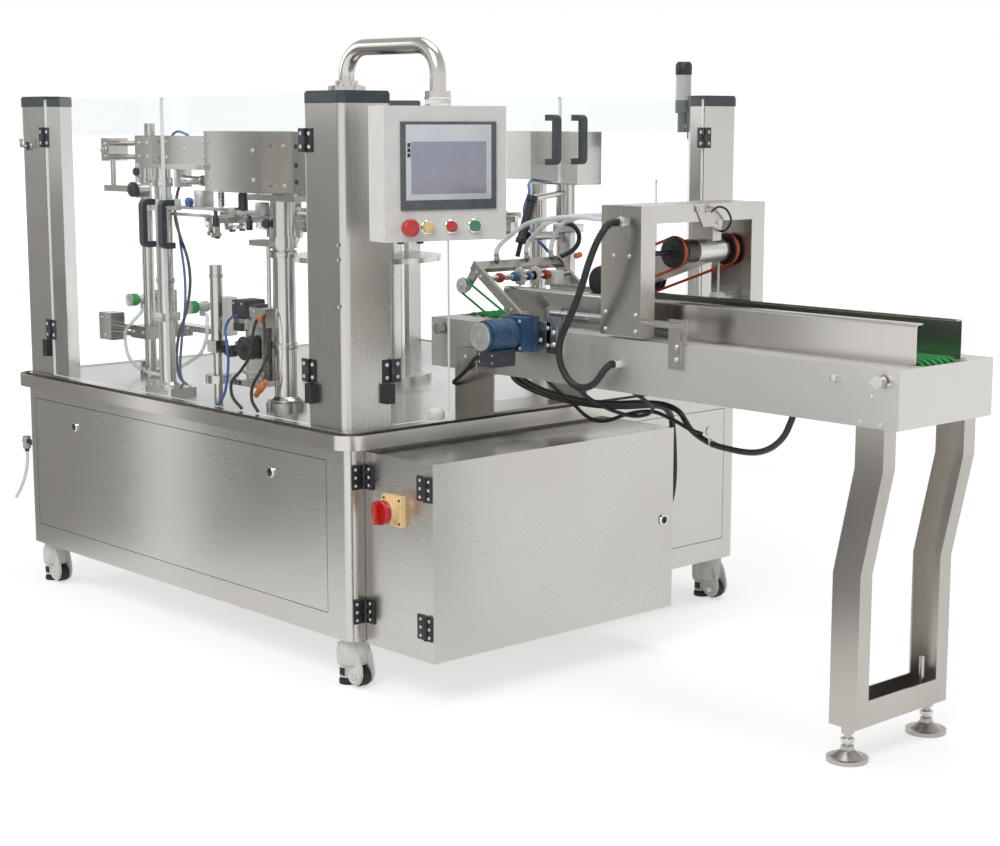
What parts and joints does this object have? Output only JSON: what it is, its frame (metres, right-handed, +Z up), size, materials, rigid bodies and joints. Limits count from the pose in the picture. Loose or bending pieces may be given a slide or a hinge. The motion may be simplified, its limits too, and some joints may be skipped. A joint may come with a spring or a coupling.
{
  "type": "rotary pouch packing machine",
  "caption": "Rotary pouch packer: guarded turret with gripper arms on a cabinet, bag conveyor with portal, swing-out electrical box and operator panel on a tube arm",
  "frame": {"origin": "centre of the outline on the floor, without the cords", "axes": "+X along the conveyor to its free end, +Y to the back, +Z up"},
  "size_m": [2.7647, 1.4398, 1.498],
  "materials": {
    "stainless": "satin brushed stainless sheet",
    "machined_steel": "fine turned and milled stainless",
    "clear_sheet": "clear acrylic sheet, polished edges",
    "dark_plastic": "fine-grained dark slate polyamide",
    "panel_white": "light grey powder coat",
    "screen_dark": "glossy touch screen in a dark bezel",
    "yellow_plastic": "smooth yellow plastic",
    "red_plastic": "smooth red plastic",
    "green_plastic": "smooth green plastic",
    "motor_blue": "blue enamel on cast aluminium",
    "belt_green": "rough green polyurethane round belt",
    "belt_orange": "orange polyurethane round belt",
    "lamp_clear": "clear ribbed lamp lens",
    "lamp_grey": "grey lamp housing with a black cap",
    "switchgear": "light grey devices on a zinc plate",
    "cup_green": "green silicone cup on a plated rod",
    "caster_white": "white polyamide housing",
    "black_rubber": "black rubber",
    "cable_black": "black cable sheath",
    "hose_clear": "translucent polyurethane tube"
  },
  "bodies": {
    "machine": {"cabinet_frame": "stainless", "table_tray": "stainless", "guard_posts": "stainless", "post_caps": "dark_plastic", "fixed_guards": "clear_sheet", "guard_fittings": "dark_plastic", "lamp_body": "lamp_grey", "lamp_lens": "lamp_clear", "conveyor_beam": "stainless", "guide_rails": "stainless", "conveyor_belts": "belt_green", "gearmotor": "motor_blue", "conveyor_stands": "stainless", "portal_frame": "stainless", "press_frame": "stainless", "press_belts": "belt_orange", "turret_column": "machined_steel", "station_frames": "machined_steel", "portal_conduit": "cable_black", "bundle_cable": "cable_black", "loop_cable": "cable_black", "air_hose": "hose_clear"},
    "turret": {"turret_disc": "machined_steel", "gripper_arms": "machined_steel"},
    "opener": {"suction_arms": "cup_green"},
    "pickup": {"pickup_arm": "stainless"},
    "drive_roller": {"drive_roller": "machined_steel"},
    "tail_roller": {"tail_roller": "machined_steel"},
    "press_top": {"press_roller_top": "dark_plastic"},
    "press_low": {"press_roller_low": "dark_plastic"},
    "front_panel": {"front_access_panel": "stainless"},
    "side_panel": {"side_access_panel": "stainless"},
    "door_fl": {"front_door_left": "clear_sheet", "front_left_fittings": "dark_plastic"},
    "door_fr": {"front_door_right": "clear_sheet", "front_right_fittings": "dark_plastic"},
    "door_sl": {"side_door_left": "clear_sheet", "side_left_fittings": "dark_plastic"},
    "door_sr": {"side_door_right": "clear_sheet", "side_right_fittings": "dark_plastic"},
    "ebox": {"ebox_shell": "stainless", "ebox_plate": "switchgear", "mains_switch_base": "yellow_plastic"},
    "ebox_door": {"ebox_door": "stainless"},
    "mains_knob": {"mains_switch_knob": "red_plastic"},
    "panel_arm": {"hmi_arm": "stainless"},
    "panel": {"hmi_case": "panel_white", "hmi_screen": "screen_dark"},
    "stop": {"stop_mushroom": "red_plastic"},
    "yellow": {"yellow_button": "yellow_plastic"},
    "red": {"red_button": "red_plastic"},
    "green": {"green_button": "green_plastic"},
    "caster_1": {"caster_1": "caster_white"},
    "wheel_1": {"caster_wheel_1": "black_rubber"},
    "caster_2": {"caster_2": "caster_white"},
    "wheel_2": {"caster_wheel_2": "black_rubber"},
    "caster_3": {"caster_3": "caster_white"},
    "wheel_3": {"caster_wheel_3": "black_rubber"},
    "caster_4": {"caster_4": "caster_white"},
    "wheel_4": {"caster_wheel_4": "black_rubber"}
  },
  "joints": [
    {"name": "turret_spin", "type": "hinge", "parent": "machine", "child": "turret", "pos_m": [-0.5485, -0.02113, 1.03], "axis": [0, 0, 1], "continuous": true},
    {"name": "opener_slide", "type": "slide", "parent": "machine", "child": "opener", "axis": [0, 1, 0], "range_m": [0, 0.03]},
    {"name": "pickup_tilt", "type": "hinge", "parent": "machine", "child": "pickup", "pos_m": [0.2535, -0.04613, 0.851], "axis": [0, 1, 0], "range_deg": [0, 25]},
    {"name": "drive_roller_spin", "type": "hinge", "parent": "machine", "child": "drive_roller", "pos_m": [-0.0045, -0.04613, 0.8065], "axis": [0, 1, 0], "continuous": true},
    {"name": "tail_roller_spin", "type": "hinge", "parent": "machine", "child": "tail_roller", "pos_m": [1.3345, -0.04613, 0.8065], "axis": [0, 1, 0], "continuous": true},
    {"name": "press_top_spin", "type": "hinge", "parent": "machine", "child": "press_top", "pos_m": [0.6215, -0.01113, 1.019], "axis": [0, 1, 0], "continuous": true},
    {"name": "press_low_spin", "type": "hinge", "parent": "machine", "child": "press_low", "pos_m": [0.3875, -0.01113, 0.938], "axis": [0, 1, 0], "continuous": true},
    {"name": "front_panel_off", "type": "slide", "parent": "machine", "child": "front_panel", "axis": [0, -1, 0], "range_m": [0, 0.25]},
    {"name": "side_panel_off", "type": "slide", "parent": "machine", "child": "side_panel", "axis": [1, 0, 0], "range_m": [0, 0.25]},
    {"name": "door_fl_hinge", "type": "hinge", "parent": "machine", "child": "door_fl", "pos_m": [-1.159, -0.66313, 0.744], "axis": [0, 0, 1], "range_deg": [-110, 0]},
    {"name": "door_fr_hinge", "type": "hinge", "parent": "machine", "child": "door_fr", "pos_m": [0.042, -0.66313, 0.744], "axis": [0, 0, 1], "range_deg": [0, 110]},
    {"name": "door_sl_hinge", "type": "hinge", "parent": "machine", "child": "door_sl", "pos_m": [0.1835, -0.52163, 0.744], "axis": [0, 0, 1], "range_deg": [-58, 0]},
    {"name": "door_sr_hinge", "type": "hinge", "parent": "machine", "child": "door_sr", "pos_m": [0.1835, 0.55137, 0.744], "axis": [0, 0, 1], "range_deg": [0, 105]},
    {"name": "ebox_hinge", "type": "hinge", "parent": "machine", "child": "ebox", "pos_m": [0.1975, -0.62113, 0.34], "axis": [0, 0, 1], "range_deg": [-90, 0]},
    {"name": "ebox_door_hinge", "type": "hinge", "parent": "ebox", "child": "ebox_door", "pos_m": [0.4145, -0.62113, 0.34], "axis": [0, 0, 1], "range_deg": [-110, 0]},
    {"name": "mains_knob_turn", "type": "hinge", "parent": "ebox", "child": "mains_knob", "pos_m": [0.3035, -0.61513, 0.446], "axis": [0, 1, 0], "range_deg": [0, 90]},
    {"name": "panel_arm_swing", "type": "hinge", "parent": "machine", "child": "panel_arm", "pos_m": [0.1165, -0.59513, 1.4], "axis": [0, 0, 1], "range_deg": [-100, 25]},
    {"name": "panel_turn", "type": "hinge", "parent": "panel_arm", "child": "panel", "pos_m": [0.39994, -0.56534, 1.36], "axis": [0, 0, 1], "range_deg": [-60, 60]},
    {"name": "stop_press", "type": "slide", "parent": "panel", "child": "stop", "axis": [-0.9774, 0.2113, 0], "range_m": [0, 0.004]},
    {"name": "yellow_press", "type": "slide", "parent": "panel", "child": "yellow", "axis": [-0.9774, 0.2113, 0], "range_m": [0, 0.004], "stiffness_N_per_m": 800, "springref_m": -0.002},
    {"name": "red_press", "type": "slide", "parent": "panel", "child": "red", "axis": [-0.9774, 0.2113, 0], "range_m": [0, 0.004], "stiffness_N_per_m": 800, "springref_m": -0.002},
    {"name": "green_press", "type": "slide", "parent": "panel", "child": "green", "axis": [-0.9774, 0.2113, 0], "range_m": [0, 0.004], "stiffness_N_per_m": 800, "springref_m": -0.002},
    {"name": "caster_1_swivel", "type": "hinge", "parent": "machine", "child": "caster_1", "pos_m": [0.1425, -0.61213, 0.11], "axis": [0, 0, 1], "continuous": true},
    {"name": "wheel_1_spin", "type": "hinge", "parent": "caster_1", "child": "wheel_1", "pos_m": [0.1645, -0.61213, 0.028], "axis": [0, 1, 0], "continuous": true},
    {"name": "caster_2_swivel", "type": "hinge", "parent": "machine", "child": "caster_2", "pos_m": [-1.2595, -0.61213, 0.11], "axis": [0, 0, 1], "continuous": true},
    {"name": "wheel_2_spin", "type": "hinge", "parent": "caster_2", "child": "wheel_2", "pos_m": [-1.2375, -0.61213, 0.028], "axis": [0, 1, 0], "continuous": true},
    {"name": "caster_3_swivel", "type": "hinge", "parent": "machine", "child": "caster_3", "pos_m": [0.1425, 0.64187, 0.11], "axis": [0, 0, 1], "continuous": true},
    {"name": "wheel_3_spin", "type": "hinge", "parent": "caster_3", "child": "wheel_3", "pos_m": [0.1645, 0.64187, 0.028], "axis": [0, 1, 0], "continuous": true},
    {"name": "caster_4_swivel", "type": "hinge", "parent": "machine", "child": "caster_4", "pos_m": [-1.2595, 0.64187, 0.11], "axis": [0, 0, 1], "continuous": true},
    {"name": "wheel_4_spin", "type": "hinge", "parent": "caster_4", "child": "wheel_4", "pos_m": [-1.2375, 0.64187, 0.028], "axis": [0, 1, 0], "continuous": true}
  ],
  "couplings": [
    {"joint": "tail_roller_spin", "follows": "drive_roller_spin", "ratio": 1},
    {"joint": "press_low_spin", "follows": "press_top_spin", "ratio": 1}
  ]
}
